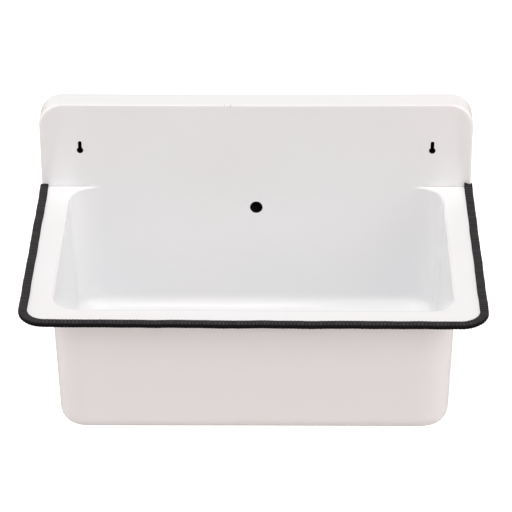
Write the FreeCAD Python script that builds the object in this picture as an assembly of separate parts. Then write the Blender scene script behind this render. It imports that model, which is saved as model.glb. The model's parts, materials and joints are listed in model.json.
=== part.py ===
import FreeCAD, Part
import math
import os

# Wall-hung bucket sink in enamelled steel, in millimetres.
# X runs to the user's right, Y towards the wall and Z up. The origin lies midway between the
# entries of the two hanging keyholes, on the front face of the splashback.

# Enamelled sheet
SHEET = 2.5
BEND_R = 1.3  # inside radius of the bends at the rim's lip and round the splashback

# Rim
RIM_WIDTH = 506.0
RIM_REACH = 312.9  # splashback to the front edge
RIM_CORNER_R = 30.0

# Splashback
SPLASH_OVERHANG = 0.8  # wider than the rim by this much on each side
SPLASH_RISE = 107.1  # rim to the top
SPLASH_DEPTH = 30.5  # front face to the wall
SPLASH_CORNER_R = 27.0

# Hanging keyholes
KEYHOLE_INSET = 47.0  # from the splashback's side
KEYHOLE_RISE = 48.0  # rim to the centre of the round entry
KEYHOLE_ENTRY_R = 3.9
KEYHOLE_SLOT_WIDTH = 4.3
KEYHOLE_SLOT_REACH = 12.0  # entry centre to the top of the slot

# Basin, measured on the wet side
SIDE_LEDGE = 33.7  # rim's edge to the side wall
FRONT_LEDGE = 31.2  # rim's edge to the front wall
BASIN_DEPTH = 158.0
WALL_DRAFT = 1.4  # degrees, side and front walls
BACK_BEND_DROP = 18.0  # rim to the bend in the back wall
BACK_SLOPE = 3.0  # degrees, back wall below that bend
FRONT_CORNER_R = 30.0
REAR_CORNER_R = 32.0
FLOOR_R = 16.0

# Overflow
OVERFLOW_DROP = 27.8  # rim to the centre of the hole
OVERFLOW_R = 7.5
SPIGOT_WALL = 1.6
SPIGOT_STEP = 0.4  # the spigot's bore is wider than the hole by this much
SPIGOT_LENGTH = 22.0
SPIGOT_FOOT_R = 15.0
SPIGOT_FOOT_THICKNESS = 1.5

# Edging on the rim
TRIM_HEIGHT = 6.0
TRIM_COVER = 7.3  # how far its lips reach over the rim
TRIM_BACK = 2.7  # thickness outside the rim's edge
TRIM_BACK_R = 2.0
TRIM_LIP_R = 1.1
TRIM_GAP = 0.1  # edging to the sheet
TRIM_END_GAP = 0.5  # edging to the splashback
TRIM_SEAM = 41.0  # splashback to the seam on the right side
TRIM_SEAM_GAP = 0.4
CORE_THICKNESS = 0.5
CORE_BEND_R = 1.1  # at the middle of the strip
CORE_INSET = 1.4  # from the lip's end to the strip's edge
CORE_GAP = 0.05

# Drain in the floor, its widths measured outwards from the threaded barrel
BARREL_R = 23.9
BARREL_LENGTH = 27.0
BARREL_WALL = 2.9
DRAIN_GAP = 2.0  # barrel to the hole in the floor
FLANGE_WIDTH = 11.1
FLANGE_MARGIN = 0.5
FLANGE_THICKNESS = 2.0
FLANGE_GASKET_THICKNESS = 1.5
RECESS_DROP = 3.5
MOUTH_FLARE = 3.5  # the mouth is wider than the bore by this much
MOUTH_DEPTH = 3.5
BASIN_GASKET_WIDTH = 10.1
BASIN_GASKET_THICKNESS = 3.0
FRICTION_WASHER_WIDTH = 9.1
FRICTION_WASHER_THICKNESS = 1.2
LOCK_NUT_WALL = 6.1
LOCK_NUT_HEIGHT = 8.0
THREAD_GAP = 0.1
RING_GAP = 0.4  # rings and gaskets round the barrel
NUT_BEVEL = 2.0

# Strainer
GRID_DEPTH = 16.0  # flange top to the spider's top
GRID_THICKNESS = 1.2
GRID_GAP = 0.3
GRID_HOLE_R = 2.2
GRID_RINGS = ((12.4, 6), (5.6, 12))  # inset of each ring of holes from the bore, number of holes
SPIDER_ARMS = 3
SPIDER_ARM_WIDTH = 4.0
SPIDER_ARM_HEIGHT = 5.0
HUB_R = 5.5
HUB_HEIGHT = 8.0
GRID_SCREW_R = 2.4
GRID_SCREW_LENGTH = 9.0
GRID_SCREW_HEAD_R = 4.2
GRID_SCREW_HEAD_HEIGHT = 2.4
GRID_SCREW_SLOT = 1.0

# Outlet
TAIL_INSET = 3.9  # smaller than the barrel by this much
TAIL_WALL = 1.5
TAIL_LENGTH = 21.0
TAIL_NECK_STEP = 0.3  # the neck inside the nut is this much thicker
TAIL_NECK_SPARE = 1.0
TAIL_FLANGE_THICKNESS = 2.0
TAIL_WASHER_THICKNESS = 2.5
TAIL_NUT_WALL = 4.1
TAIL_NUT_GRIP = 9.0
TAIL_NUT_LIP = 3.0

# Stopper
SEAT_GAP = 0.3
PLUG_DEPTH = 9.0
PLUG_TAPER = 0.8
PLUG_RISE = 2.0  # flange top to the plug's top
COVER_MARGIN = 2.0  # from the plug's edge
COVER_THICKNESS = 1.5
COVER_EDGE_R = 0.9
STUD_R = 2.0
STUD_GAP = 0.1
STUD_COLLAR_R = 4.0
STUD_COLLAR_HEIGHT = 1.0
EYE_R = 3.8
EYE_WIDTH = 3.2
STOPPER_NUT_FLATS = 7.0
STOPPER_NUT_HEIGHT = 3.2
STOPPER_NUT_BEVEL = 0.4
NUT_POCKET_GAP = 1.0
RING_R = 10.0
RING_WIRE_R = 1.2
EYE_GAP = 0.45

# Levels and places that follow from the sizes above
LIP_R = BEND_R + SHEET
SPLASH_WIDTH = RIM_WIDTH + 2 * SPLASH_OVERHANG
KEYHOLE_SPACING = SPLASH_WIDTH - 2 * KEYHOLE_INSET
BASIN_WIDTH = RIM_WIDTH - 2 * SIDE_LEDGE
BASIN_REACH = RIM_REACH - FRONT_LEDGE
RIM_Z = -KEYHOLE_RISE
TOP_Z = RIM_Z + SPLASH_RISE
PANEL_FOOT_Z = RIM_Z - LIP_R
FLOOR_Z = RIM_Z - BASIN_DEPTH
SEAT_Z = FLOOR_Z - RECESS_DROP
UNDER_Z = SEAT_Z - SHEET
FLANGE_Z = SEAT_Z + FLANGE_GASKET_THICKNESS
FLANGE_TOP_Z = FLANGE_Z + FLANGE_THICKNESS
BARREL_END_Z = FLANGE_Z - BARREL_LENGTH
GRID_Z = FLANGE_TOP_Z - GRID_DEPTH
PLUG_TOP_Z = FLANGE_TOP_Z + PLUG_RISE
COVER_TOP_Z = PLUG_TOP_Z + COVER_THICKNESS
FLANGE_R = BARREL_R + FLANGE_WIDTH
RECESS_R = FLANGE_R + FLANGE_MARGIN + RECESS_DROP
DRAIN_R = BARREL_R + DRAIN_GAP
BORE_R = BARREL_R - BARREL_WALL
MOUTH_R = BORE_R + MOUTH_FLARE
COVER_R = MOUTH_R - COVER_MARGIN
TAIL_R = BARREL_R - TAIL_INSET
LOCK_NUT_FLATS = 2 * (BARREL_R + LOCK_NUT_WALL)
TAIL_NUT_FLATS = 2 * (BARREL_R + TAIL_NUT_WALL)
DRAFT = math.radians(WALL_DRAFT)
SLOPE = math.radians(BACK_SLOPE)
EYE_Z = COVER_TOP_Z + STUD_COLLAR_HEIGHT + EYE_R
NEAR = 0.01


def v(x, y, z):
    return FreeCAD.Vector(x, y, z)


def rounded_polygon(points, radii):
    """A closed wire through the points, with an arc of the given radius at each corner."""
    edges = []
    count = len(points)
    bends = []
    for i, corner in enumerate(points):
        before = (points[i - 1] - corner).normalize()
        after = (points[(i + 1) % count] - corner).normalize()
        half_angle = before.getAngle(after) / 2
        radius = radii[i]
        reach = radius / math.tan(half_angle)
        middle = (before + after).normalize()
        apex = corner + middle * (radius / math.sin(half_angle) - radius)
        bends.append((corner + before * reach, apex, corner + after * reach, radius))
    for i, (start, apex, end, radius) in enumerate(bends):
        if radius > 0:
            edges.append(Part.Arc(start, apex, end).toShape())
        next_start = bends[(i + 1) % count][0]
        edges.append(Part.makeLine(end, next_start))
    return Part.Wire(edges)


def sheet_face(points, radii=None):
    return Part.Face(rounded_polygon(points, radii or [0] * len(points)))


def edges_at_height(shape, z, inside):
    """Edges that lie in the level plane z and pass the given test of x and y."""
    found = []
    for edge in shape.Edges:
        flat = all(abs(vertex.Z - z) < NEAR for vertex in edge.Vertexes)
        if flat and all(inside(vertex.X, vertex.Y) for vertex in edge.Vertexes):
            found.append(edge)
    return found


def basin_limits(depth, offset):
    """Half width, front and rear of the basin at a depth, moved outwards by the offset."""
    outwards = offset / math.cos(DRAFT) - depth * math.tan(DRAFT)
    bend = BACK_BEND_DROP + offset * math.tan(SLOPE / 2)
    rear = offset - max(0.0, depth - bend) * math.tan(SLOPE)
    return BASIN_WIDTH / 2 + outwards, -BASIN_REACH - outwards, rear


def basin_section(depth, offset):
    half, front, rear = basin_limits(depth, offset)
    z = RIM_Z - depth
    corners = [v(-half, front, z), v(half, front, z), v(half, rear, z), v(-half, rear, z)]
    front_r = FRONT_CORNER_R + offset
    rear_r = REAR_CORNER_R + offset
    return rounded_polygon(corners, [front_r, front_r, rear_r, rear_r])


def basin_block(top_depth, offset):
    """The basin as a solid block: the wet space at offset 0, the outside at the sheet's thickness."""
    bend = BACK_BEND_DROP + offset * math.tan(SLOPE / 2)
    floor = BASIN_DEPTH + offset
    sections = [basin_section(depth, offset) for depth in (top_depth, bend, floor)]
    block = Part.makeLoft(sections, True, True)
    rim = edges_at_height(block, RIM_Z - floor, lambda x, y: True)
    return block.makeFillet(FLOOR_R + offset, rim)


def opening_edges(shape, depth, offset):
    half, front, rear = basin_limits(depth, offset)

    def inside(x, y):
        return abs(x) < half + NEAR and front - NEAR < y < rear + NEAR

    return edges_at_height(shape, RIM_Z - depth, inside)


def floor_centre_y():
    half, front, rear = basin_limits(BASIN_DEPTH, 0)
    return (front + rear) / 2


DRAIN_Y = floor_centre_y()


def basin_and_rim():
    """The basin hung in its flat rim, with the lip rolled over all round."""
    half = RIM_WIDTH / 2
    rear = LIP_R + SHEET
    z = RIM_Z - SHEET
    corners = [v(-half, -RIM_REACH, z), v(half, -RIM_REACH, z), v(half, rear, z), v(-half, rear, z)]
    plate = sheet_face(corners, [RIM_CORNER_R, RIM_CORNER_R, 0, 0]).extrude(v(0, 0, SHEET))
    outside = basin_block(0, SHEET)
    shape = plate.fuse(outside).cut(basin_block(-LIP_R, 0)).removeSplitter()
    shape = shape.makeFillet(LIP_R, opening_edges(shape, 0, 0))
    shape = shape.makeFillet(BEND_R, opening_edges(shape, SHEET, SHEET))
    spare = Part.makeBox(RIM_WIDTH, rear, LIP_R + SHEET, v(-half, SHEET, RIM_Z - LIP_R))
    return shape.cut(spare.cut(outside))


def splash_block(offset, front_y, rear_y, foot_z, edge_r):
    """The splashback's outline as a block, its front edge rounded except along the foot."""
    half = SPLASH_WIDTH / 2 - offset
    top = TOP_Z - offset
    corners = [v(-half, front_y, foot_z), v(half, front_y, foot_z)]
    corners += [v(half, front_y, top), v(-half, front_y, top)]
    corner_r = SPLASH_CORNER_R - offset
    block = sheet_face(corners, [0, 0, corner_r, corner_r]).extrude(v(0, rear_y - front_y, 0))
    bends = []
    for edge in block.Edges:
        in_front = all(abs(vertex.Y - front_y) < NEAR for vertex in edge.Vertexes)
        on_foot = all(abs(vertex.Z - foot_z) < NEAR for vertex in edge.Vertexes)
        if in_front and not on_foot:
            bends.append(edge)
    return block.makeFillet(edge_r, bends)


def splashback():
    outside = splash_block(0, 0, SPLASH_DEPTH, PANEL_FOOT_Z, LIP_R)
    hollow = splash_block(SHEET, SHEET, SPLASH_DEPTH + SHEET, PANEL_FOOT_Z - SHEET, BEND_R)
    return outside.cut(hollow)


def keyhole(x):
    """Round entry with a narrow slot above it, cut through the panel."""
    start = v(x, -SHEET, 0)
    length = 3 * SHEET
    slot_r = KEYHOLE_SLOT_WIDTH / 2
    slot_top = KEYHOLE_SLOT_REACH - slot_r
    entry = Part.makeCylinder(KEYHOLE_ENTRY_R, length, start, v(0, 1, 0))
    end = Part.makeCylinder(slot_r, length, start + v(0, 0, slot_top), v(0, 1, 0))
    slot = Part.makeBox(KEYHOLE_SLOT_WIDTH, length, slot_top, start - v(slot_r, 0, 0))
    return entry.fuse([end, slot])


def overflow_axis():
    """Centre of the overflow hole on the wet side, and its direction square to the back wall."""
    half, front, rear = basin_limits(OVERFLOW_DROP, 0)
    return v(0, rear, RIM_Z - OVERFLOW_DROP), v(0, math.cos(SLOPE), -math.sin(SLOPE))


def on_drain(shape):
    return shape.translated(v(0, DRAIN_Y, 0))


def turned(profile):
    """A ring or disc turned about the drain's axis from (radius, height) points."""
    face = sheet_face([v(r, 0, z) for r, z in profile])
    return on_drain(face.revolve(v(0, 0, 0), v(0, 0, 1), 360))


def ring(inner_r, outer_r, low_z, height):
    high_z = low_z + height
    return turned([(inner_r, low_z), (outer_r, low_z), (outer_r, high_z), (inner_r, high_z)])


def hexagon(flats, bore_r, low_z, height, bevel):
    """A nut: six flats, a plain bore, and its outer corners bevelled at both ends."""
    corner_r = flats / math.sqrt(3)
    corners = []
    for i in range(6):
        angle = math.radians(60 * i)
        corners.append(v(corner_r * math.cos(angle), corner_r * math.sin(angle), low_z))
    prism = on_drain(sheet_face(corners).extrude(v(0, 0, height)))
    high_z = low_z + height
    end_r = corner_r - bevel
    blank = turned([(bore_r, low_z), (end_r, low_z), (corner_r, low_z + bevel / 2),
                    (corner_r, high_z - bevel / 2), (end_r, high_z), (bore_r, high_z)])
    return prism.common(blank)


def sink_shell():
    shell = basin_and_rim().fuse(splashback()).removeSplitter()
    wall_step = SHEET * math.tan(math.radians(22.5))
    low_r = RECESS_R - RECESS_DROP
    boss = Part.makeCone(low_r + wall_step, RECESS_R + wall_step, RECESS_DROP, v(0, DRAIN_Y, UNDER_Z))
    recess = Part.makeCone(low_r, RECESS_R, RECESS_DROP, v(0, DRAIN_Y, SEAT_Z))
    drain = Part.makeCylinder(DRAIN_R, 3 * SHEET, v(0, DRAIN_Y, UNDER_Z - SHEET))
    centre, away = overflow_axis()
    overflow = Part.makeCylinder(OVERFLOW_R, 3 * SHEET, centre - away * SHEET, away)
    holes = [recess, drain, overflow]
    holes += [keyhole(side * KEYHOLE_SPACING / 2) for side in (-1, 1)]
    return shell.fuse(boss).removeSplitter().cut(holes)


def overflow_spigot():
    centre, away = overflow_axis()
    foot = centre + away * SHEET
    bore_r = OVERFLOW_R + SPIGOT_STEP
    tube = Part.makeCylinder(bore_r + SPIGOT_WALL, SPIGOT_LENGTH, foot, away)
    flange = Part.makeCylinder(SPIGOT_FOOT_R, SPIGOT_FOOT_THICKNESS, foot, away)
    return tube.fuse(flange).cut(Part.makeCylinder(bore_r, SPIGOT_LENGTH, foot, away))


# Edging: a section in the XZ plane, X outwards from the rim's edge and Z from the sheet's middle
LIP_THICKNESS = (TRIM_HEIGHT - SHEET) / 2 - TRIM_GAP
CORE_X = (TRIM_BACK + TRIM_GAP) / 2
CORE_Z = SHEET / 2 + TRIM_GAP + LIP_THICKNESS / 2


def section_box(inner_x, outer_x, half_height, radii=None):
    corners = [v(inner_x, 0, -half_height), v(outer_x, 0, -half_height)]
    corners += [v(outer_x, 0, half_height), v(inner_x, 0, half_height)]
    return sheet_face(corners, radii)


def core_section(gap):
    """The clip strip's U section, grown by the gap."""
    half = CORE_THICKNESS / 2 + gap
    edge_x = CORE_INSET - TRIM_COVER - gap
    bend = CORE_BEND_R + half
    outer = section_box(edge_x, CORE_X + half, CORE_Z + half, [0, bend, bend, 0])
    bend = CORE_BEND_R - half
    return outer.cut(section_box(edge_x - SHEET, CORE_X - half, CORE_Z - half, [0, bend, bend, 0]))


def trim_section():
    radii = [TRIM_LIP_R, TRIM_BACK_R, TRIM_BACK_R, TRIM_LIP_R]
    outer = section_box(-TRIM_COVER, TRIM_BACK, TRIM_HEIGHT / 2, radii)
    groove = section_box(-TRIM_COVER - SHEET, TRIM_GAP, SHEET / 2 + TRIM_GAP)
    return outer.cut(groove).cut(core_section(CORE_GAP))


def right_run(section, start_y, end_y):
    face = section.translated(v(RIM_WIDTH / 2, start_y, RIM_Z - SHEET / 2))
    return face.extrude(v(0, end_y - start_y, 0))


def rim_run(section, start_y, end_y):
    """The section carried from the right side, round the front, to the rear of the left side."""
    corner_x = RIM_WIDTH / 2 - RIM_CORNER_R
    corner_y = RIM_CORNER_R - RIM_REACH
    up = v(0, 0, 1)
    right_centre = v(corner_x, corner_y, 0)
    left_centre = v(-corner_x, corner_y, 0)
    pieces = [right_run(section, start_y, corner_y)]
    face = section.translated(v(RIM_WIDTH / 2, corner_y, RIM_Z - SHEET / 2))
    pieces.append(face.revolve(right_centre, up, -90))
    face = face.rotated(right_centre, up, -90)
    pieces.append(face.extrude(v(-2 * corner_x, 0, 0)))
    face = face.translated(v(-2 * corner_x, 0, 0))
    pieces.append(face.revolve(left_centre, up, -90))
    face = face.rotated(left_centre, up, -90)
    pieces.append(face.extrude(v(0, end_y - corner_y, 0)))
    return pieces[0].fuse(pieces[1:]).removeSplitter()


def strainer_body():
    """Flanged, threaded drain body with a three-armed spider and its hub across the bore."""
    edge = FLANGE_THICKNESS / 2
    body = turned([(MOUTH_R, FLANGE_TOP_Z), (FLANGE_R - edge, FLANGE_TOP_Z),
                   (FLANGE_R, FLANGE_TOP_Z - edge), (FLANGE_R, FLANGE_Z), (BARREL_R, FLANGE_Z),
                   (BARREL_R, BARREL_END_Z), (BORE_R, BARREL_END_Z),
                   (BORE_R, FLANGE_TOP_Z - MOUTH_DEPTH)])
    arms = [on_drain(Part.makeCylinder(HUB_R, HUB_HEIGHT, v(0, 0, GRID_Z - HUB_HEIGHT)))]
    reach = (BORE_R + BARREL_R) / 2
    corner = v(0, -SPIDER_ARM_WIDTH / 2, GRID_Z - SPIDER_ARM_HEIGHT)
    for i in range(SPIDER_ARMS):
        arm = Part.makeBox(reach, SPIDER_ARM_WIDTH, SPIDER_ARM_HEIGHT, corner)
        arms.append(on_drain(arm.rotated(v(0, 0, 0), v(0, 0, 1), 360 * i / SPIDER_ARMS)))
    hole = Part.makeCylinder(GRID_SCREW_R + THREAD_GAP, HUB_HEIGHT, v(0, 0, GRID_Z - HUB_HEIGHT))
    return body.fuse(arms).removeSplitter().cut(on_drain(hole))


def strainer_grid():
    disc = ring(GRID_SCREW_R + THREAD_GAP, BORE_R - GRID_GAP, GRID_Z, GRID_THICKNESS)
    holes = []
    for inset, count in GRID_RINGS:
        ring_r = BORE_R - inset
        for i in range(count):
            angle = 2 * math.pi * (i + 0.5) / count
            place = v(ring_r * math.cos(angle), ring_r * math.sin(angle), GRID_Z - GRID_THICKNESS)
            holes.append(on_drain(Part.makeCylinder(GRID_HOLE_R, 3 * GRID_THICKNESS, place)))
    return disc.cut(holes)


def grid_screw():
    head_z = GRID_Z + GRID_THICKNESS
    top_z = head_z + GRID_SCREW_HEAD_HEIGHT
    end_z = head_z - GRID_SCREW_LENGTH
    shoulder_z = (head_z + top_z) / 2
    screw = turned([(0, end_z), (GRID_SCREW_R, end_z), (GRID_SCREW_R, head_z),
                    (GRID_SCREW_HEAD_R, head_z), (GRID_SCREW_HEAD_R, shoulder_z),
                    (GRID_SCREW_R, top_z), (0, top_z)])
    length = 2 * GRID_SCREW_HEAD_R
    corner = v(-length / 2, -GRID_SCREW_SLOT / 2, top_z - GRID_SCREW_SLOT)
    return screw.cut(on_drain(Part.makeBox(length, GRID_SCREW_SLOT, GRID_SCREW_SLOT, corner)))


# Stack under the floor
RING_BORE_R = BARREL_R + RING_GAP
BASIN_GASKET_Z = UNDER_Z - BASIN_GASKET_THICKNESS
FRICTION_WASHER_Z = BASIN_GASKET_Z - FRICTION_WASHER_THICKNESS
LOCK_NUT_Z = FRICTION_WASHER_Z - LOCK_NUT_HEIGHT
TAIL_WASHER_Z = BARREL_END_Z - TAIL_WASHER_THICKNESS
TAIL_FLANGE_Z = TAIL_WASHER_Z - TAIL_FLANGE_THICKNESS
TAIL_NUT_Z = TAIL_FLANGE_Z - TAIL_NUT_LIP
TAIL_NECK_R = TAIL_R + TAIL_NECK_STEP


def tailpiece():
    """Outlet tube: a flange on top, a thicker neck through the nut, then the plain end."""
    bore_r = TAIL_R - TAIL_WALL
    end_z = TAIL_FLANGE_Z - TAIL_LENGTH
    neck_z = TAIL_NUT_Z - TAIL_NECK_SPARE
    return turned([(bore_r, end_z), (TAIL_R, end_z), (TAIL_R, neck_z), (TAIL_NECK_R, neck_z),
                   (TAIL_NECK_R, TAIL_FLANGE_Z), (BARREL_R, TAIL_FLANGE_Z),
                   (BARREL_R, TAIL_WASHER_Z), (bore_r, TAIL_WASHER_Z)])


def tailpiece_nut():
    height = BARREL_END_Z + TAIL_NUT_GRIP - TAIL_NUT_Z
    nut = hexagon(TAIL_NUT_FLATS, TAIL_NECK_R + RING_GAP, TAIL_NUT_Z, height, NUT_BEVEL)
    return nut.cut(ring(0, BARREL_R + THREAD_GAP, TAIL_FLANGE_Z, height))


def stopper_plug():
    """Bevelled plug that follows the drain's mouth, with a pocket for the nut underneath."""
    low_z = FLANGE_TOP_Z - PLUG_DEPTH
    bevel_z = FLANGE_TOP_Z - MOUTH_DEPTH
    pocket_z = low_z + STOPPER_NUT_HEIGHT
    hole_r = STUD_R + STUD_GAP
    pocket_r = STOPPER_NUT_FLATS / math.sqrt(3) + NUT_POCKET_GAP
    bevel_gap = SEAT_GAP / math.cos(math.atan2(MOUTH_R - BORE_R, MOUTH_DEPTH))
    return turned([(pocket_r, low_z), (BORE_R - SEAT_GAP - PLUG_TAPER, low_z),
                   (BORE_R - bevel_gap, bevel_z), (MOUTH_R - bevel_gap, FLANGE_TOP_Z),
                   (MOUTH_R - bevel_gap, PLUG_TOP_Z), (hole_r, PLUG_TOP_Z), (hole_r, pocket_z),
                   (pocket_r, pocket_z)])


def stopper_cover():
    disc = ring(STUD_R + STUD_GAP, COVER_R, PLUG_TOP_Z, COVER_THICKNESS)
    rim = edges_at_height(disc, COVER_TOP_Z, lambda x, y: math.hypot(x, y - DRAIN_Y) > COVER_R - NEAR)
    return disc.makeFillet(COVER_EDGE_R, rim)


def stopper_eye():
    low_z = FLANGE_TOP_Z - PLUG_DEPTH
    stud = ring(0, STUD_R, low_z, COVER_TOP_Z - low_z)
    collar = ring(0, STUD_COLLAR_R, COVER_TOP_Z, STUD_COLLAR_HEIGHT + (EYE_R - STUD_R) / 2)
    start = v(-EYE_WIDTH / 2, DRAIN_Y, EYE_Z)
    eye = Part.makeCylinder(EYE_R, EYE_WIDTH, start, v(1, 0, 0))
    bore = Part.makeCylinder(RING_WIRE_R + EYE_GAP, EYE_WIDTH, start, v(1, 0, 0))
    return stud.fuse([collar, eye]).removeSplitter().cut(bore)


def stopper_ring():
    """Pull ring through the eye, lying forwards with its far side just clear of the cover."""
    far_z = COVER_TOP_Z + RING_WIRE_R + SEAT_GAP
    tilt = math.degrees(math.asin((EYE_Z - far_z) / (2 * RING_R)))
    wire_ring = Part.makeTorus(RING_R, RING_WIRE_R, v(0, DRAIN_Y - RING_R, EYE_Z))
    return wire_ring.rotated(v(0, DRAIN_Y, EYE_Z), v(1, 0, 0), tilt)


def pieces():
    """Every piece of the sink by name."""
    rear_y = -TRIM_END_GAP
    seam_y = -TRIM_SEAM
    found = {"sink_shell": sink_shell(), "overflow_spigot": overflow_spigot()}
    found["rim_trim"] = rim_run(trim_section(), seam_y - TRIM_SEAM_GAP, rear_y)
    found["rim_trim_core"] = rim_run(core_section(0), seam_y - TRIM_SEAM_GAP, rear_y)
    found["rim_trim_end_piece"] = right_run(trim_section(), rear_y, seam_y)
    found["end_piece_core"] = right_run(core_section(0), rear_y, seam_y)
    found["strainer_body"] = strainer_body()
    found["strainer_grid"] = strainer_grid()
    found["grid_screw"] = grid_screw()
    found["flange_gasket"] = ring(DRAIN_R, FLANGE_R - FLANGE_MARGIN, SEAT_Z, FLANGE_GASKET_THICKNESS)
    found["basin_gasket"] = ring(RING_BORE_R, BARREL_R + BASIN_GASKET_WIDTH, BASIN_GASKET_Z,
                                 BASIN_GASKET_THICKNESS)
    found["friction_washer"] = ring(RING_BORE_R, BARREL_R + FRICTION_WASHER_WIDTH, FRICTION_WASHER_Z,
                                    FRICTION_WASHER_THICKNESS)
    found["lock_nut"] = hexagon(LOCK_NUT_FLATS, BARREL_R + THREAD_GAP, LOCK_NUT_Z, LOCK_NUT_HEIGHT, NUT_BEVEL)
    found["tailpiece_washer"] = ring(TAIL_R, BARREL_R, TAIL_WASHER_Z, TAIL_WASHER_THICKNESS)
    found["tailpiece"] = tailpiece()
    found["tailpiece_nut"] = tailpiece_nut()
    found["stopper_plug"] = stopper_plug()
    found["stopper_cover"] = stopper_cover()
    found["stopper_eye"] = stopper_eye()
    found["stopper_nut"] = hexagon(STOPPER_NUT_FLATS, STUD_R + STUD_GAP, FLANGE_TOP_Z - PLUG_DEPTH,
                                   STOPPER_NUT_HEIGHT, STOPPER_NUT_BEVEL)
    found["stopper_ring"] = stopper_ring()
    return found


def main():
    os.makedirs("parts", exist_ok=True)
    for name, shape in pieces().items():
        box = shape.BoundBox
        print(name, "solids", len(shape.Solids), "valid", shape.isValid(), "volume", round(shape.Volume),
              "z", round(box.ZMin, 1), round(box.ZMax, 1))
        shape.exportStep(f"parts/{name}.step")


main()
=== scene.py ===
import json
import math

import bmesh
import bpy
import numpy as np
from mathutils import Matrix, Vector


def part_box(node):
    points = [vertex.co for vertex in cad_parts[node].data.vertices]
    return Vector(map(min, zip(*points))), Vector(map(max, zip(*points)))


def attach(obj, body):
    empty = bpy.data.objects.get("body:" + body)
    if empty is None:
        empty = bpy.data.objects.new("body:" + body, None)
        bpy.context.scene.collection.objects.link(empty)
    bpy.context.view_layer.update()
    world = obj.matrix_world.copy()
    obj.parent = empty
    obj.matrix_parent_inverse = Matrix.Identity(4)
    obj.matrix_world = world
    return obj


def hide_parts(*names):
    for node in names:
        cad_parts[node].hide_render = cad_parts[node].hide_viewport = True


# %% [markdown]
# # A wall-hung bucket sink
# This lesson dresses a bucket sink: one white enamelled steel pressing with black edging round its rim and
# a strainer waste in its floor. The solid model is loaded first and never moved. Every finish and every new
# piece is then made around it, in metres, with X to the user's right, Y towards the wall and Z up.

# %% Load the solid model
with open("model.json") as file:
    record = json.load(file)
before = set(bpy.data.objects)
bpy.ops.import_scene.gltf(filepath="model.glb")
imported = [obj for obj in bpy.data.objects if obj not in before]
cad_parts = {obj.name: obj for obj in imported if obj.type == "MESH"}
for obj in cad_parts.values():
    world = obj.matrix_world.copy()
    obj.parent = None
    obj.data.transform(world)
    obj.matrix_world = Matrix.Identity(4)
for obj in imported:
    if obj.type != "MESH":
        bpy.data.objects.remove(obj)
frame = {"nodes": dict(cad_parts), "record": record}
nodes = frame["nodes"]
mounts = {mount["name"]: mount for mount in frame["record"]["mounts"]}
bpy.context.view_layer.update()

# %% [markdown]
# ## Camera
# The picture was taken from straight in front, about thirty degrees above the rim, with a long lens from
# nearly three metres away. The camera could be aimed with a constraint, but a matrix made from its azimuth,
# elevation and roll says the same thing with nothing left to solve.

# %% Camera from azimuth, elevation and roll
LENS_MM, SENSOR_MM, FARTHEST = 174.36, 36.0, 50.0
CAMERA_PLACE = (0.0355, -2.5826, 1.3495)
AZIMUTH, ELEVATION, ROLL = (math.radians(a) for a in (0.802, 30.024, -0.31))


def camera_matrix():
    """Columns right, up and backwards: a turn about Z, a tilt, then the roll about the view."""
    back = np.array([math.sin(AZIMUTH) * math.cos(ELEVATION), -math.cos(AZIMUTH) * math.cos(ELEVATION),
                     math.sin(ELEVATION)])
    right = np.array([math.cos(AZIMUTH), math.sin(AZIMUTH), 0.0])
    up = np.cross(back, right)
    matrix = np.eye(4)
    matrix[:3, 0] = right * math.cos(ROLL) + up * math.sin(ROLL)
    matrix[:3, 1] = up * math.cos(ROLL) - right * math.sin(ROLL)
    matrix[:3, 2] = back
    matrix[:3, 3] = CAMERA_PLACE
    return matrix


scene = bpy.context.scene
camera_data = bpy.data.cameras.new("camera")
camera_data.sensor_width = SENSOR_MM
camera_data.lens = LENS_MM
camera_data.clip_end = FARTHEST
camera = bpy.data.objects.new("camera", camera_data)
camera.matrix_world = camera_matrix().T.tolist()
scene.collection.objects.link(camera)
scene.camera = camera
scene.view_settings.view_transform = "Standard"
print("camera", [round(c, 3) for c in camera.location], "lens", LENS_MM)

# %% [markdown]
# ## Node helpers
# Every finish here is worked out from places in the object's own space, never from a picture. A few short
# helpers keep the node trees readable: one adds a node, one does sums, one mixes two colours, one mixes two
# shaders and one turns a range of values into a soft mask from 0 to 1.

# %% Nodes and sums
def node(tree, kind, **values):
    """Adds a shader node and sets those of its sockets that are named."""
    made = tree.nodes.new("ShaderNode" + kind)
    for name, value in values.items():
        made.inputs[name].default_value = value
    return made


def feed(tree, source, socket):
    """Links an output to a socket, or sets the socket where the source is a plain number or colour."""
    if isinstance(source, bpy.types.NodeSocket):
        tree.links.new(source, socket)
    else:
        socket.default_value = source


def calc(tree, operation, *terms):
    """One sum over up to three terms."""
    made = node(tree, "Math")
    made.operation = operation
    for term, socket in zip(terms, made.inputs):
        feed(tree, term, socket)
    return made.outputs[0]


def scaled(tree, value, amount, base=0.0):
    """The value times an amount, on top of a base."""
    return calc(tree, "MULTIPLY_ADD", value, amount, base)


def apart(tree, value, place):
    """How far a value lies from a place, on either side of it."""
    return calc(tree, "ABSOLUTE", calc(tree, "SUBTRACT", value, place))


print("sums ready")

# %% Mixes, masks and places
COLOUR_SOCKETS, COLOUR_RESULT = (0, 6, 7), 2  # of a Mix node: factor and two colours, then the result


def mixed(tree, factor, first, second):
    """Colour between two colours."""
    made = node(tree, "Mix")
    made.data_type = "RGBA"
    for source, socket in zip((factor, first, second), COLOUR_SOCKETS):
        feed(tree, source, made.inputs[socket])
    return made.outputs[COLOUR_RESULT]


def either(tree, factor, first, second):
    """First shader where the factor is 0 and second where it is 1."""
    made = node(tree, "MixShader")
    for source, socket in zip((factor, first.outputs[0], second.outputs[0]), made.inputs):
        feed(tree, source, socket)
    return made.outputs[0]


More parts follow.
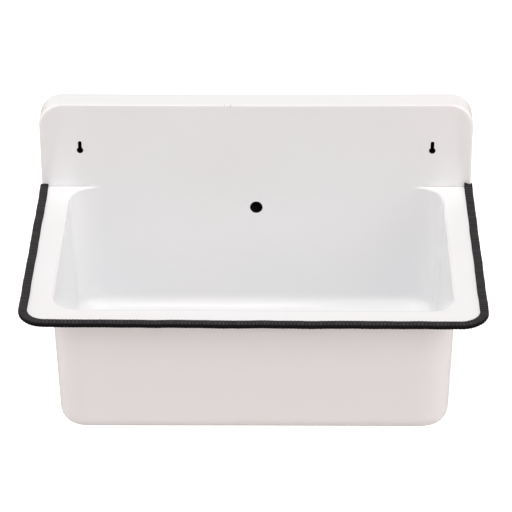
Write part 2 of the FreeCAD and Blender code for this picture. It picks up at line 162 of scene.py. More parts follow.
def soft_mask(tree, value, zero, one):
    """Smooth step from 0 where the value is at zero to 1 where it is at one."""
    flip = one < zero
    made = node(tree, "MapRange", **{"From Min": min(zero, one), "From Max": max(zero, one),
                                     "To Min": float(flip), "To Max": float(not flip)})
    made.interpolation_type = "SMOOTHSTEP"
    feed(tree, value, made.inputs["Value"])
    return made.outputs["Result"]


def axes(tree, vector):
    """X, Y and Z of a vector."""
    made = node(tree, "SeparateXYZ")
    feed(tree, vector, made.inputs[0])
    return made.outputs


def object_place(tree):
    """Place in the object's own space, in metres."""
    return node(tree, "TexCoord").outputs["Object"]


def noise(tree, vector, scale, detail=2.0):
    """Soft noise from 0 to 1 at a number of patches per metre."""
    made = node(tree, "TexNoise", Detail=detail)
    feed(tree, vector, made.inputs["Vector"])
    feed(tree, scale, made.inputs["Scale"])
    return made.outputs[0]


print("masks ready")

# %% [markdown]
# ## Room light
# White enamel shows its form only by small steps of grey, so the light has to be soft and nearly even. A
# warm pale world at the level of the eye gives the even part. Broad suns stand to both sides and in front,
# and a narrower one overhead reaches the floor of the basin, which is as bright as the rim. That one is a
# wide ceiling in the real room, so it leaves no spot in reflections. A small panel does: it puts the long
# highlight on the foot of the back wall. Seen directly or in a reflection the world is plain white.

# %% World
WORLD_COLOUR, WORLD_STRENGTH = (1.0, 0.885, 0.85), 0.62


def make_world():
    """Diffuse light that fades from the level of the eye to nothing overhead; white for other rays."""
    world = bpy.data.worlds.new("studio")
    world.use_nodes = True
    tree = world.node_tree
    tree.nodes.clear()
    fade = node(tree, "MapRange", **{"To Min": WORLD_STRENGTH, "To Max": 0.0})
    feed(tree, axes(tree, node(tree, "TexCoord").outputs["Generated"])["Z"], fade.inputs["Value"])
    soft = node(tree, "Background", Color=(*WORLD_COLOUR, 1))
    feed(tree, fade.outputs["Result"], soft.inputs["Strength"])
    white = node(tree, "Background", Color=(1, 1, 1, 1))
    rays = node(tree, "LightPath").outputs
    seen = calc(tree, "MAXIMUM", rays["Is Camera Ray"], rays["Is Glossy Ray"])
    seen = calc(tree, "MAXIMUM", seen, rays["Is Transmission Ray"])
    feed(tree, either(tree, seen, soft, white), node(tree, "OutputWorld").inputs["Surface"])
    return world


scene.world = make_world()
print("world", WORLD_STRENGTH)

# %% Lamps
SUN_COLOUR = (1.0, 0.978, 0.963)
# Each sun: degrees round, degrees up, spread in degrees, strength.
SUNS = ((50, 35, 50, 0.78), (-64, 35, 50, 0.67), (78, 15, 50, 0.80), (-92, 15, 50, 0.78),
        (0, 38, 50, 0.28))
CEILING = (0, 84, 20, 1.32)
PANEL_PLACE, PANEL_SIZE, PANEL_WATTS = (-0.09, -0.22, 1.15), (0.34, 0.6), 1.7


def add_lamp(name, kind, strength):
    """A lamp of one kind, and the object that holds it."""
    light = bpy.data.lights.new(name, kind)
    light.energy = strength
    light.color = SUN_COLOUR
    holder = bpy.data.objects.new(name, light)
    scene.collection.objects.link(holder)
    return light, holder


def add_sun(name, turn, rise, spread, strength):
    """A sun at some degrees round from the front and up, as wide as its spread."""
    light, holder = add_lamp(name, "SUN", strength)
    light.angle = math.radians(spread)
    holder.rotation_euler = (math.radians(90 - rise), 0, math.radians(turn))
    return holder


for number, sun in enumerate(SUNS):
    add_sun("sun_%d" % number, *sun)
add_sun("ceiling", *CEILING).visible_glossy = False
panel, holder = add_lamp("panel", "AREA", PANEL_WATTS)
panel.shape = "RECTANGLE"
panel.size, panel.size_y = PANEL_SIZE
holder.location = PANEL_PLACE
holder.visible_diffuse = False
print("suns", len(SUNS), "ceiling", CEILING[3], "panel", PANEL_WATTS)

# %% [markdown]
# ## Effects that several finishes share
# Fine grain is the orange peel of enamel, the moulded skin of rubber and the cast skin of brass, at other
# scales. Turned marks are the rings that a lathe or a polishing wheel leaves round the drain's axis. Lime
# is the film that hard water leaves near the drain. Each one is a node group, built once, and puts out
# masks only.

# %% Empty group and distance from the drain
DRAIN_Y = mounts["waste_outlet"]["pos_m"][1]


def new_group(name, inputs, outputs):
    """An empty group with float sockets, and its input and output nodes."""
    group = bpy.data.node_groups.new(name, "ShaderNodeTree")

    def add_socket(label, way):
        return group.interface.new_socket(label, in_out=way, socket_type="NodeSocketFloat")

    for label, value in inputs.items():
        add_socket(label, "INPUT").default_value = value
    for label in outputs:
        add_socket(label, "OUTPUT")
    return group, group.nodes.new("NodeGroupInput").outputs, group.nodes.new("NodeGroupOutput").inputs


def drain_radius(tree):
    """Distance from the drain's upright axis."""
    x, y = axes(tree, object_place(tree))[:2]
    y = calc(tree, "SUBTRACT", y, DRAIN_Y)
    squares = [calc(tree, "MULTIPLY", side, side) for side in (x, y)]
    return calc(tree, "SQRT", calc(tree, "ADD", *squares))


print("drain at", round(DRAIN_Y, 4))

# %% Grain, turned marks and lime
MOTTLE_DETAIL, MOTTLE_FROM, MOTTLE_FULL = 4.0, 0.3, 0.7
LIME_SCALE, LIME_DETAIL, LIME_FROM, LIME_FULL = 85.0, 5.0, 0.42, 0.68


def fine_grain_group():
    """Height is close noise for bumps, Mottle is broad soft patches from 0 to 1."""
    scales = {"Scale": 400.0, "Mottle Scale": 12.0}
    group, given, put = new_group("fine_grain", scales, ("Height", "Mottle"))
    place = object_place(group)
    feed(group, noise(group, place, given["Scale"]), put["Height"])
    patches = noise(group, place, given["Mottle Scale"], MOTTLE_DETAIL)
    feed(group, soft_mask(group, patches, MOTTLE_FROM, MOTTLE_FULL), put["Mottle"])
    return group


def turned_marks_group():
    """Noise of the distance from the drain's axis alone, which gives uneven rings."""
    group, given, put = new_group("turned_marks", {"Rings per metre": 2500.0}, ("Mask",))
    made = node(group, "TexNoise", Detail=1.0, Scale=1.0)
    made.noise_dimensions = "1D"
    feed(group, calc(group, "MULTIPLY", drain_radius(group), given["Rings per metre"]), made.inputs["W"])
    feed(group, made.outputs[0], put["Mask"])
    return group


def lime_group():
    """Patchy noise that fades out with the distance from the drain."""
    group, given, put = new_group("lime", {"Reach": 0.1}, ("Mask",))
    near = calc(group, "SUBTRACT", 1.0, calc(group, "DIVIDE", drain_radius(group), given["Reach"]))
    patches = noise(group, object_place(group), LIME_SCALE, LIME_DETAIL)
    patches = soft_mask(group, patches, LIME_FROM, LIME_FULL)
    feed(group, calc(group, "MULTIPLY", calc(group, "MAXIMUM", near, 0.0), patches), put["Mask"])
    return group


groups = {group.name: group for group in (fine_grain_group(), turned_marks_group(), lime_group())}


def use(tree, name, **values):
    """Places a group in a material with its own values and gives its outputs."""
    made = node(tree, "Group")
    made.node_tree = groups[name]
    for label, value in values.items():
        made.inputs[label.replace("_", " ")].default_value = value
    return made.outputs


print("groups", list(groups))

# %% [markdown]
# ## White enamel
# Enamel is glass fused to steel. It is glossy but never flat: the surface has a faint orange peel, the
# white drifts a little between warm and cool, lime dulls it round the drain, and a thin grey line of
# painted shade darkens the crease where the rim meets the splashback. Two tiny chips mark the top fold.
# All of that is masks over one colour.

# %% A finish and its bumps
finishes = {}


def new_finish(name, roughness, metallic=0.0, specular=0.5):
    """A material with one Principled shader; its plain numbers are set on the shader itself."""
    material = bpy.data.materials.new(name)
    material.use_nodes = True
    shader = material.node_tree.nodes["Principled BSDF"]
    shader.inputs["Roughness"].default_value = roughness
    shader.inputs["Metallic"].default_value = metallic
    shader.inputs["Specular IOR Level"].default_value = specular
    finishes[name] = material
    return material.node_tree, shader.inputs


def raised(tree, shader, height, distance):
    """Bump from a height mask, its depth in metres."""
    made = node(tree, "Bump", Distance=distance)
    feed(tree, height, made.inputs["Height"])
    feed(tree, made.outputs[0], shader["Normal"])


print("finishes so far", len(finishes))

# %% Painted shade in the crease and dirt in the chips
RIM_Z = -0.048
CREASE_WIDTH, CREASE_REACH, CREASE_FADE = 0.0011, 0.186, 0.02
CHIPS = ((-0.0365, 0.0588, 0.0012), (-0.0295, 0.0578, 0.0014))  # across, height, radius
CHIP_RAGGED, CHIP_GRAIN, CHIP_FADE, CHIP_FRONT, CHIP_BACK = 0.0012, 900.0, 1.6, 0.002, 0.004


def painted_crease_shade(tree):
    """Painted shade: 1 in the corner between rim and splashback, 0 elsewhere and where there is no rim."""
    x, y, z = axes(tree, object_place(tree))
    across = soft_mask(tree, apart(tree, x, 0.0), CREASE_REACH, CREASE_REACH + CREASE_FADE)
    near_y = soft_mask(tree, apart(tree, y, 0.0), CREASE_WIDTH, 0.0)
    near_z = soft_mask(tree, apart(tree, z, RIM_Z), CREASE_WIDTH, 0.0)
    return calc(tree, "MULTIPLY", across, calc(tree, "MULTIPLY", near_y, near_z))


def chip_mask(tree):
    """1 inside a few small ragged spots on the top fold."""
    place = object_place(tree)
    x, y, z = axes(tree, place)
    ragged = scaled(tree, noise(tree, place, CHIP_GRAIN), CHIP_RAGGED)
    total = 0.0
    for across, height, radius in CHIPS:
        far = calc(tree, "ADD", apart(tree, x, across), apart(tree, z, height))
        spot = soft_mask(tree, calc(tree, "ADD", far, ragged), radius * CHIP_FADE, radius)
        total = calc(tree, "MAXIMUM", total, spot)
    return calc(tree, "MULTIPLY", total, soft_mask(tree, y, CHIP_BACK, CHIP_FRONT))


print("crease", CREASE_WIDTH, "chips", len(CHIPS))

# %% White enamel and ground coat
WHITE, WARM_WHITE = (0.847, 0.860, 0.876, 1), (0.850, 0.848, 0.852, 1)
# The grey of dirt in the chips, which also paints shade into the crease at the rim.
LIME, GRIME_AND_CREASE_SHADE, GROUND_COAT = (0.70, 0.68, 0.63, 1), (0.42, 0.40, 0.37, 1), (0.012, 0.013, 0.018, 1)
GLAZE_ROUGH, GLAZE_DRIFT, PEEL_DEPTH, HALF_COVER, LIME_ROUGH = 0.065, 0.03, 0.000015, 0.5, 0.5
SPECK_SCALE, SPECK_FROM, SPECK_FULL, SPECK_COVER = 2100.0, 0.70, 0.78, 0.4
COAT_ROUGH, COAT_DRIFT, COAT_DEPTH = 0.22, 0.15, 0.00004


def white_enamel():
    """White glass, half covered by each of its masks, rougher where lime lies on it."""
    tree, shader = new_finish("white_enamel", roughness=0.08)
    grain = use(tree, "fine_grain", Scale=230.0, Mottle_Scale=7.0)
    lime = scaled(tree, use(tree, "lime", Reach=0.11)["Mask"], HALF_COVER)
    colour = mixed(tree, scaled(tree, grain["Mottle"], HALF_COVER), WHITE, WARM_WHITE)
    colour = mixed(tree, lime, colour, LIME)
    # The crease mask paints shade into the corner at the rim; the chip mask is dirt in real chips.
    for shade_and_chip_mask in (painted_crease_shade(tree), chip_mask(tree)):
        colour = mixed(tree, scaled(tree, shade_and_chip_mask, HALF_COVER), colour, GRIME_AND_CREASE_SHADE)
    feed(tree, colour, shader["Base Color"])
    rough = scaled(tree, grain["Mottle"], GLAZE_DRIFT, GLAZE_ROUGH)
    feed(tree, scaled(tree, lime, LIME_ROUGH, rough), shader["Roughness"])
    raised(tree, shader, grain["Height"], PEEL_DEPTH)


def ground_coat_enamel():
    """Blue-black glass with fine pale specks, left bare on cut edges and on the spigot."""
    tree, shader = new_finish("ground_coat_enamel", roughness=0.3, specular=0.3)
    grain = use(tree, "fine_grain", Scale=320.0, Mottle_Scale=30.0)
    specks = noise(tree, object_place(tree), SPECK_SCALE, detail=0.0)
    specks = scaled(tree, soft_mask(tree, specks, SPECK_FROM, SPECK_FULL), SPECK_COVER)
    feed(tree, mixed(tree, specks, GROUND_COAT, WHITE), shader["Base Color"])
    feed(tree, scaled(tree, grain["Mottle"], COAT_DRIFT, COAT_ROUGH), shader["Roughness"])
    raised(tree, shader, grain["Height"], COAT_DEPTH)


white_enamel()
ground_coat_enamel()
print("finishes", list(finishes))

# %% [markdown]
# ## Black edging
# The skin of the edging is soft black plastic. Its side that faces up and the crests of its ribs are
# painted grey as painted light and painted highlight, and patches of dust vary that grey; the grooves and
# the underside stay black. The ribs are real geometry, and an attribute that was stored with them tells
# the material how high each point lies.

# %% Black edging
SKIN_BLACK, SKIN_LIT_DUSTY_GREY = (0.0045, 0.0043, 0.0048, 1), (0.056, 0.053, 0.056, 1)
SKIN_GRAIN, SKIN_ROUGH, SKIN_DRIFT = 0.00005, 0.45, 0.15
UPPER_FROM, UPPER_FULL = 0.60, 0.97
CREST_GREY, GROOVE_GREY, DUST_DRIFT, DUST_LEAST = 0.85, 0.08, 0.25, 0.6


def black_edging():
    """Painted light and highlight: grey where a crest faces up, from the rib attribute and the normal; dust
    varies it.
    """
    tree, shader = new_finish("black_edging", roughness=0.5, specular=0.06)
    grain = use(tree, "fine_grain", Scale=700.0, Mottle_Scale=45.0)
    rib = node(tree, "Attribute")
    rib.attribute_name = "rib"
    facing = axes(tree, node(tree, "TexCoord").outputs["Normal"])["Z"]
    # Painted light: the side that faces up turns grey and the rib crests get a painted highlight; dust is
    # real.
    lit_top = soft_mask(tree, facing, UPPER_FROM, UPPER_FULL)
    crest_highlight = scaled(tree, rib.outputs["Fac"], CREST_GREY, GROOVE_GREY)
    dust = scaled(tree, grain["Mottle"], DUST_DRIFT, DUST_LEAST)
    lit_and_dusty = calc(tree, "MULTIPLY", calc(tree, "MULTIPLY", crest_highlight, lit_top), dust)
    feed(tree, mixed(tree, lit_and_dusty, SKIN_BLACK, SKIN_LIT_DUSTY_GREY), shader["Base Color"])
    feed(tree, scaled(tree, grain["Mottle"], SKIN_DRIFT, SKIN_ROUGH), shader["Roughness"])
    raised(tree, shader, grain["Height"], SKIN_GRAIN)


black_edging()
print("edging from", SKIN_BLACK[0], "to", SKIN_LIT_DUSTY_GREY[0])

# %% [markdown]
# ## Metals of the waste
# Chrome, stainless steel, brass and the steel of the clip strip differ in colour, in how rough they are and
# in what has happened to them. Lime covers metal, so it lowers Metallic as well as it raises Roughness.

# %% Metals
TARNISH, RUST = (0.34, 0.20, 0.09, 1), (0.20, 0.12, 0.08, 1)
LIME_ON_METAL, POLISHED, GRAIN_SHARE = 0.8, 0.5, 0.3


def metal(name, colour, stain, staining, roughness, rings, ring_depth, lime_reach):
    """A metal with turned rings, patches of stain and, near the drain, lime."""
    tree, shader = new_finish(name, roughness, metallic=1.0)
    grain = use(tree, "fine_grain", Scale=900.0, Mottle_Scale=70.0)
    marks = use(tree, "turned_marks", Rings_per_metre=rings)["Mask"]
    lime = use(tree, "lime", Reach=lime_reach)["Mask"]
    stained = mixed(tree, scaled(tree, grain["Mottle"], staining), colour, stain)
    feed(tree, mixed(tree, lime, stained, LIME), shader["Base Color"])
    feed(tree, scaled(tree, lime, -LIME_ON_METAL, 1.0), shader["Metallic"])
    rough = scaled(tree, marks, roughness, roughness * POLISHED)
    feed(tree, scaled(tree, lime, LIME_ROUGH, rough), shader["Roughness"])
    raised(tree, shader, scaled(tree, grain["Height"], GRAIN_SHARE, marks), ring_depth)


metal("chromed_brass", (0.78, 0.78, 0.79, 1), (0.60, 0.59, 0.57, 1), staining=0.3, roughness=0.12,
      rings=900.0, ring_depth=0.000008, lime_reach=0.045)
metal("stainless", (0.62, 0.62, 0.61, 1), (0.50, 0.49, 0.47, 1), staining=0.4, roughness=0.30,
      rings=3200.0, ring_depth=0.000020, lime_reach=0.040)
metal("bare_brass", (0.72, 0.53, 0.25, 1), TARNISH, staining=0.75, roughness=0.32,
      rings=1600.0, ring_depth=0.000030, lime_reach=0.015)
metal("clip_steel", (0.50, 0.50, 0.50, 1), RUST, staining=0.45, roughness=0.40,
      rings=600.0, ring_depth=0.000020, lime_reach=0.010)
print("finishes", list(finishes))

# %% [markdown]
# ## Rubber and plastic
# Gaskets and plug are black rubber with a dull bloom and a moulded skin. The slip ring is white plastic.

# %% Rubber and plastic
BLOOM, LIME_ON_SKIN, MATT_DRIFT = (0.075, 0.074, 0.072, 1), 0.6, 0.14


def moulded(name, colour, drift, amount, roughness, grain_scale, lime_reach):
    """A matt moulded skin whose colour drifts in patches, with lime near the drain."""
    tree, shader = new_finish(name, roughness, specular=0.35)
    grain = use(tree, "fine_grain", Scale=grain_scale, Mottle_Scale=55.0)
    lime = scaled(tree, use(tree, "lime", Reach=lime_reach)["Mask"], LIME_ON_SKIN)
    patchy = mixed(tree, scaled(tree, grain["Mottle"], amount), colour, drift)
    feed(tree, mixed(tree, lime, patchy, LIME), shader["Base Color"])
    feed(tree, scaled(tree, grain["Mottle"], MATT_DRIFT, roughness), shader["Roughness"])
    raised(tree, shader, grain["Height"], SKIN_GRAIN)


moulded("black_rubber", (0.016, 0.016, 0.017, 1), BLOOM, amount=0.45, roughness=0.62,
        grain_scale=1100.0, lime_reach=0.012)
moulded("plug_rubber", (0.022, 0.022, 0.023, 1), BLOOM, amount=0.60, roughness=0.55,
        grain_scale=800.0, lime_reach=0.034)
moulded("white_plastic", (0.80, 0.80, 0.78, 1), (0.74, 0.71, 0.64, 1), amount=0.5, roughness=0.40,
        grain_scale=600.0, lime_reach=0.012)
print("finishes", len(finishes))

# %% Finishes of the waste's pieces
NODE_FINISHES = {
    "ground_coat_enamel": ("overflow_spigot",),
    "chromed_brass": ("strainer_body", "tailpiece", "tailpiece_nut", "stopper_eye"),
    "stainless": ("strainer_grid", "grid_screw", "stopper_cover", "stopper_ring"),
    "bare_brass": ("lock_nut", "stopper_nut"),
    "black_rubber": ("flange_gasket", "basin_gasket", "tailpiece_washer"),
    "plug_rubber": ("stopper_plug",),
    "white_plastic": ("friction_washer",),
}
for finish, names in NODE_FINISHES.items():
    for name in names:
        nodes[name].data.materials.clear()
        nodes[name].data.materials.append(finishes[finish])
print("dressed nodes", sum(len(names) for names in NODE_FINISHES.values()))

# %% [markdown]
# ## Shell
# The real shell starts as one flat sheet: the basin is drawn in a press, the rear is folded up into the
# splashback and its edges are folded back to the wall, and then glass is fused on at 800 degrees. The press
# leaves corners that fade into the flats, so each corner of the opening here is a superellipse, which has
# no jump in its curvature as a plain arc has. Only the wet side is built, as grids that share their edges,
# and Solidify then gives the sheet its thickness.

# %% Sizes of the pressing
shell_low, shell_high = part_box("sink_shell")
SHEET, LIP_R = 0.0025, 0.0030
SPLASH_HALF, SPLASH_DEPTH, SPLASH_TOP = shell_high
FOLD_SIDE = 0.0030
FACE_HALF = SPLASH_HALF - FOLD_SIDE
RIM_OVERHANG, RIM_CORNER_R = 0.0008, 0.030
RIM_HALF, RIM_FRONT = SPLASH_HALF - RIM_OVERHANG, shell_low[1]
RIM_CORNER_X, RIM_CORNER_Y = RIM_HALF - RIM_CORNER_R, RIM_FRONT + RIM_CORNER_R
SIDE_LEDGE, FRONT_LEDGE = 0.0337, 0.0312
OPENING_HALF, OPENING_FRONT = RIM_HALF - SIDE_LEDGE, RIM_FRONT + FRONT_LEDGE
print("opening", round(2 * OPENING_HALF, 4), "by", round(-OPENING_FRONT, 4), "metres")

# %% Outline of the opening with soft corners
DRAFT, BACK_SLOPE = math.radians(1.4), math.radians(3.0)
BEND_DROP, BEND_SOFT = 0.018, 0.004
REAR_SPAN, FRONT_SPAN, CORNER_POWER = 0.0416, 0.0390, 2.83
REAR_COLUMNS, SIDE_COLUMNS, CORNER_COLUMNS, FRONT_COLUMNS = 22, 34, 20, 26


def soft_ramp(value, width):
    """Zero below, a straight line above and a smooth knee of the given width between."""
    return (value + np.sqrt(value ** 2 + width ** 2)) / 2


def rear_y(depth):
    """Back wall: upright under the splashback, then a slight slope forwards after a soft bend."""
    start = soft_ramp(LIP_R - BEND_DROP, BEND_SOFT)
    return -math.tan(BACK_SLOPE) * (soft_ramp(depth - BEND_DROP, BEND_SOFT) - start)


def eased(count):
    """Shares from 0 towards 1, closer together at both ends."""
    return (1 - np.cos(np.pi * np.linspace(0, 1, count, endpoint=False))) / 2


def corner(fraction):
    """Superellipse quarter: two coordinates from (0, 1) to (1, 0), and the parts of its outward normal."""
    angle = np.pi / 2 * np.clip(fraction, 0, 1)
    a, b = np.sin(angle) ** (2 / CORNER_POWER), np.cos(angle) ** (2 / CORNER_POWER)
    na, nb = a ** (CORNER_POWER - 1), b ** (CORNER_POWER - 1)
    length = np.hypot(na, nb)
    return a, b, na / length, nb / length


def left_outline(depth, rear_fractions):
    """Left half of the opening at a depth, from the rear round to mid-front: x, y and normals."""
    half = OPENING_HALF - depth * math.tan(DRAFT)
    front = OPENING_FRONT + depth * math.tan(DRAFT)
    rear = rear_y(depth)
    a, b, na, nb = corner(rear_fractions)
    rear_corner = (REAR_SPAN - half - REAR_SPAN * a, rear - REAR_SPAN + REAR_SPAN * b, -na, nb)
    along = np.linspace(0, 1, SIDE_COLUMNS, endpoint=False)
    side_y = (rear - REAR_SPAN) + along * (front + FRONT_SPAN - rear + REAR_SPAN)
    side = (-half + 0 * along, side_y, -1 + 0 * along, 0 * along)
    a, b, na, nb = corner(eased(CORNER_COLUMNS))
    front_corner = (FRONT_SPAN - half - FRONT_SPAN * b, front + FRONT_SPAN - FRONT_SPAN * a, -nb, -na)
    along = np.linspace(0, 1, FRONT_COLUMNS)
    straight = ((FRONT_SPAN - half) * (1 - along), front + 0 * along, 0 * along, -1 + 0 * along)
    shape = np.broadcast_shapes(np.shape(depth), (1,))[:-1]
    return [np.concatenate([np.broadcast_to(part, shape + np.shape(part)[-1:]) for part in parts], -1)
            for parts in zip(rear_corner, side, front_corner, straight)]


REAR_FRACTIONS = eased(REAR_COLUMNS)
print("points on half of the outline", len(left_outline(LIP_R, REAR_FRACTIONS)[0]))

# %% [markdown]
# ## Rim and rolled lip
# The rim is flat and runs back to the splashback, and its inner edge rolls down into the basin. Rows are
# offset curves of the opening: on the roll the height follows a quarter circle of the offset, and outside
# it the rows blend to the rim's outer edge. At the rear each offset curve stops where it meets the
# splashback.

# %% Inner and outer rows of the rim
def offset_row(distance):
    """Opening moved outwards by a distance, its rear corner cut off at the splashback."""
    fine = np.linspace(0, 1, 2001)
    _, b, _, nb = corner(fine)
    rear = -REAR_SPAN + REAR_SPAN * b + distance * nb
    first = np.interp(0.0, -rear, fine) if distance > 0 else 0.0
    x, y, nx, ny = left_outline(LIP_R, first + (1 - first) * REAR_FRACTIONS)
    x, y = x + distance * nx, y + distance * ny
    y[0] = 0.0
    return np.stack([x, y], -1)


def outer_row():
    """Rim's outer edge, with as many points on each side and corner as the opening has."""
    angle = np.pi / 2 * eased(CORNER_COLUMNS)
    x = [np.full(REAR_COLUMNS + SIDE_COLUMNS, -RIM_HALF), -RIM_CORNER_X - RIM_CORNER_R * np.cos(angle),
         np.linspace(-RIM_CORNER_X, 0, FRONT_COLUMNS)]
    y = [np.linspace(0, -REAR_SPAN, REAR_COLUMNS, endpoint=False),
         np.linspace(-REAR_SPAN, RIM_CORNER_Y, SIDE_COLUMNS, endpoint=False),
         RIM_CORNER_Y - RIM_CORNER_R * np.sin(angle), np.full(FRONT_COLUMNS, RIM_FRONT)]
    return np.stack([np.concatenate(x), np.concatenate(y)], -1)


print("outer row", outer_row().shape)

# %% Rim grid
ROLL_ROWS, LEDGE_ROWS, KEYHOLE_ROWS = 8, 8, 14
KEYHOLE_X = mounts["hanging_keyholes"]["dims"]["spacing_x_mm"] / 2000
KEYHOLE_HALF = 0.0088


def with_mirror(left):
    """Adds the right half, mirrored, so that the columns run from the left rear to the right rear."""
    right = left[:, -2::-1] * (-1, 1, 1)
    return np.concatenate([left, right], 1)


def rim_grid():
    """Rows from the outer edge inwards: a flat blend, then the quarter-circle roll down to the wall."""
    outer, inner = outer_row(), offset_row(LIP_R)
    beside = -KEYHOLE_X - KEYHOLE_HALF
    crease = np.concatenate([[-RIM_HALF], np.linspace(-FACE_HALF, beside, LEDGE_ROWS, endpoint=False),
                             np.linspace(beside, inner[0, 0], KEYHOLE_ROWS, endpoint=False)])
    blend = ((crease + RIM_HALF) / (inner[0, 0] + RIM_HALF))[:, None, None]
    flat = outer * (1 - blend) + inner * blend
    flat = np.concatenate([flat, np.full(flat.shape[:2] + (1,), RIM_Z)], -1)
    roll = []
    for angle in np.linspace(0, np.pi / 2, ROLL_ROWS + 1):
        row = offset_row(LIP_R * (1 - math.sin(angle)))
        height = RIM_Z - LIP_R + LIP_R * math.cos(angle)
        roll.append(np.column_stack([row, np.full(len(row), height)]))
    left = np.concatenate([flat, np.stack(roll)])
    left[0, 0, 1] = FOLD_SIDE - math.sqrt(FOLD_SIDE ** 2 - (RIM_HALF - FACE_HALF) ** 2)
    return with_mirror(left)


rim = rim_grid()
print("rim grid", rim.shape)

# %% [markdown]
# ## Basin, floor and drain recess
# Below the lip the same columns go on down the walls, which draw in slightly so that the press can let go,
# through a rounded foot into the floor, and from there inwards to the round recess that holds the waste.
# The rear columns between the two rims' ends belong to the back wall alone and close the ring.

# %% Outline of the whole basin
REAR_HALF = OPENING_HALF - REAR_SPAN - LIP_R * math.tan(DRAFT)
OVERFLOW_HALF, SLACK = 0.0135, 1e-6
OVERFLOW_CELLS, BACK_COLUMNS = 20, 22


def rear_columns():
    """Places across the back wall from right to left, close together round the overflow hole."""
    side = np.linspace(REAR_HALF, OVERFLOW_HALF, BACK_COLUMNS, endpoint=False)
    middle = np.linspace(OVERFLOW_HALF, -OVERFLOW_HALF, OVERFLOW_CELLS, endpoint=False)
    return np.concatenate([side[1:], middle, [-OVERFLOW_HALF], -side[:0:-1]])


def ring_outline(depth):
    """Whole opening at each row's depth: x, y, outward normals, counter-clockwise from the left rear."""
    left = np.stack(left_outline(depth, REAR_FRACTIONS), -1)
    right = left[:, -2::-1] * (-1, 1, -1, 1)
    rear_x = np.broadcast_to(rear_columns(), (len(depth), len(rear_columns())))
    squeeze = (OPENING_HALF - depth * math.tan(DRAFT) - REAR_SPAN) / REAR_HALF
    near = np.abs(rear_x) < OVERFLOW_HALF + SLACK
    rear_x = np.where(near, rear_x, rear_x * squeeze)
    rear = np.stack([rear_x, rear_y(depth) + 0 * rear_x, 0 * rear_x, 1 + 0 * rear_x], -1)
    return np.concatenate([left, right, rear], 1)


print("columns on the back wall", len(rear_columns()))

# %% Walls and foot
BASIN_DEPTH, FLOOR_R = 0.158, 0.016
FOOT_DEPTH = BASIN_DEPTH - FLOOR_R
OVERFLOW_DROP, OVERFLOW_R = 0.0278, 0.0075
OVERFLOW_ABOVE, OVERFLOW_BELOW = OVERFLOW_DROP - OVERFLOW_HALF, OVERFLOW_DROP + OVERFLOW_HALF
HIGH_ROWS, LOW_ROWS, FOOT_ROWS = 6, 26, 10


def wall_rows():
    """Walls by depth, with rows close together beside the overflow hole, and the outline at their foot."""
    depth = np.concatenate([np.linspace(LIP_R, OVERFLOW_ABOVE, HIGH_ROWS, endpoint=False),
                            np.linspace(OVERFLOW_ABOVE, OVERFLOW_BELOW, OVERFLOW_CELLS, endpoint=False),
                            np.linspace(OVERFLOW_BELOW, FOOT_DEPTH, LOW_ROWS)])[:, None]
    outline = ring_outline(depth)
    return np.dstack([outline[..., :2], RIM_Z - depth + 0 * outline[..., 0]]), outline[-1]


def foot_rows(outline):
    """Rounded foot that is tangent to wall and floor, and the middles of its curve."""
    normal = outline[:, 2:]
    lean = DRAFT + (BACK_SLOPE - DRAFT) * np.clip(normal[:, 1], 0, 1) ** 2
    centre = outline[:, :2] - normal * (FLOOR_R / np.cos(lean))[:, None]
    turn = lean + (np.pi / 2 - lean) * np.linspace(0, 1, FOOT_ROWS + 1)[1:, None]
    foot = centre + normal * (FLOOR_R * np.cos(turn))[..., None]
    return np.dstack([foot, RIM_Z - FOOT_DEPTH - FLOOR_R * np.sin(turn)]), centre


walls, wall_end = wall_rows()
rounding, floor_edge = foot_rows(wall_end)
print("walls", walls.shape, "foot", rounding.shape)

# %% Floor and recess
RECESS_R, RECESS_DROP, DRAIN_R = 0.039, 0.0035, 0.0259
RECESS_SOFT, RECESS_START, RECESS_SEAT = 0.0006, RECESS_R + 0.004, RECESS_R - RECESS_DROP - 0.002
FLOOR_ROWS, RECESS_ROWS, SEAT_ROWS = 10, 22, 5


def floor_rows(edge):
    """Rings from the foot inwards, whose height drops into the recess with a soft knee at both ends."""
    middle = np.array([0, DRAIN_Y])
    away = edge - middle
    reach = np.linalg.norm(away, axis=1)
    away = away / reach[:, None]
    across = np.linspace(1, 0, FLOOR_ROWS + 1)[1:, None]
    steps = np.concatenate([np.linspace(RECESS_START, RECESS_SEAT, RECESS_ROWS)[1:],
                            np.linspace(RECESS_SEAT, DRAIN_R, SEAT_ROWS)[1:]])
    radius = np.concatenate([RECESS_START + (reach - RECESS_START) * across, steps[:, None] + 0 * reach])
    inside = RECESS_R - radius
    drop = soft_ramp(inside, RECESS_SOFT) - soft_ramp(inside - RECESS_DROP, RECESS_SOFT)
    return np.dstack([middle + radius[..., None] * away, RIM_Z - BASIN_DEPTH - drop])


basin = np.concatenate([walls, rounding, floor_rows(floor_edge)])
print("basin grid", basin.shape)

# %% [markdown]
# ## Splashback
# The splashback stands on the rear of the rim and is flush with the back wall below. Its face is a grid
# between the crease at the rim and the top, narrowed row by row round the two top corners. A fold then runs
# up one side, over the top and down the other, softest at the corners where the sheet has to stretch, and a
# flat return goes back to the wall.

# %% Edges of the splashback's face
SPLASH_CORNER_R = 0.027
SPLASH_KNEE = SPLASH_TOP - SPLASH_CORNER_R
FOLD_KNEE, FOLD_CORNER, FOLD_TOP, SWELL_FROM = 0.0034, 0.0010, 0.0012, -0.010
KEYHOLE_LOW, KEYHOLE_HIGH = -0.012, 0.021
UNDER_ROWS, BESIDE_ROWS, OVER_ROWS, CORNER_ROWS = 8, 20, 6, 15


def crease_points():
    """Lower edge of the splashback's face from right to left, from the rim's and the basin's edges."""
    left = rim[1:, 0]
    return np.concatenate([left * (-1, 1, 1), basin[0, rim.shape[1]:], left[::-1]])


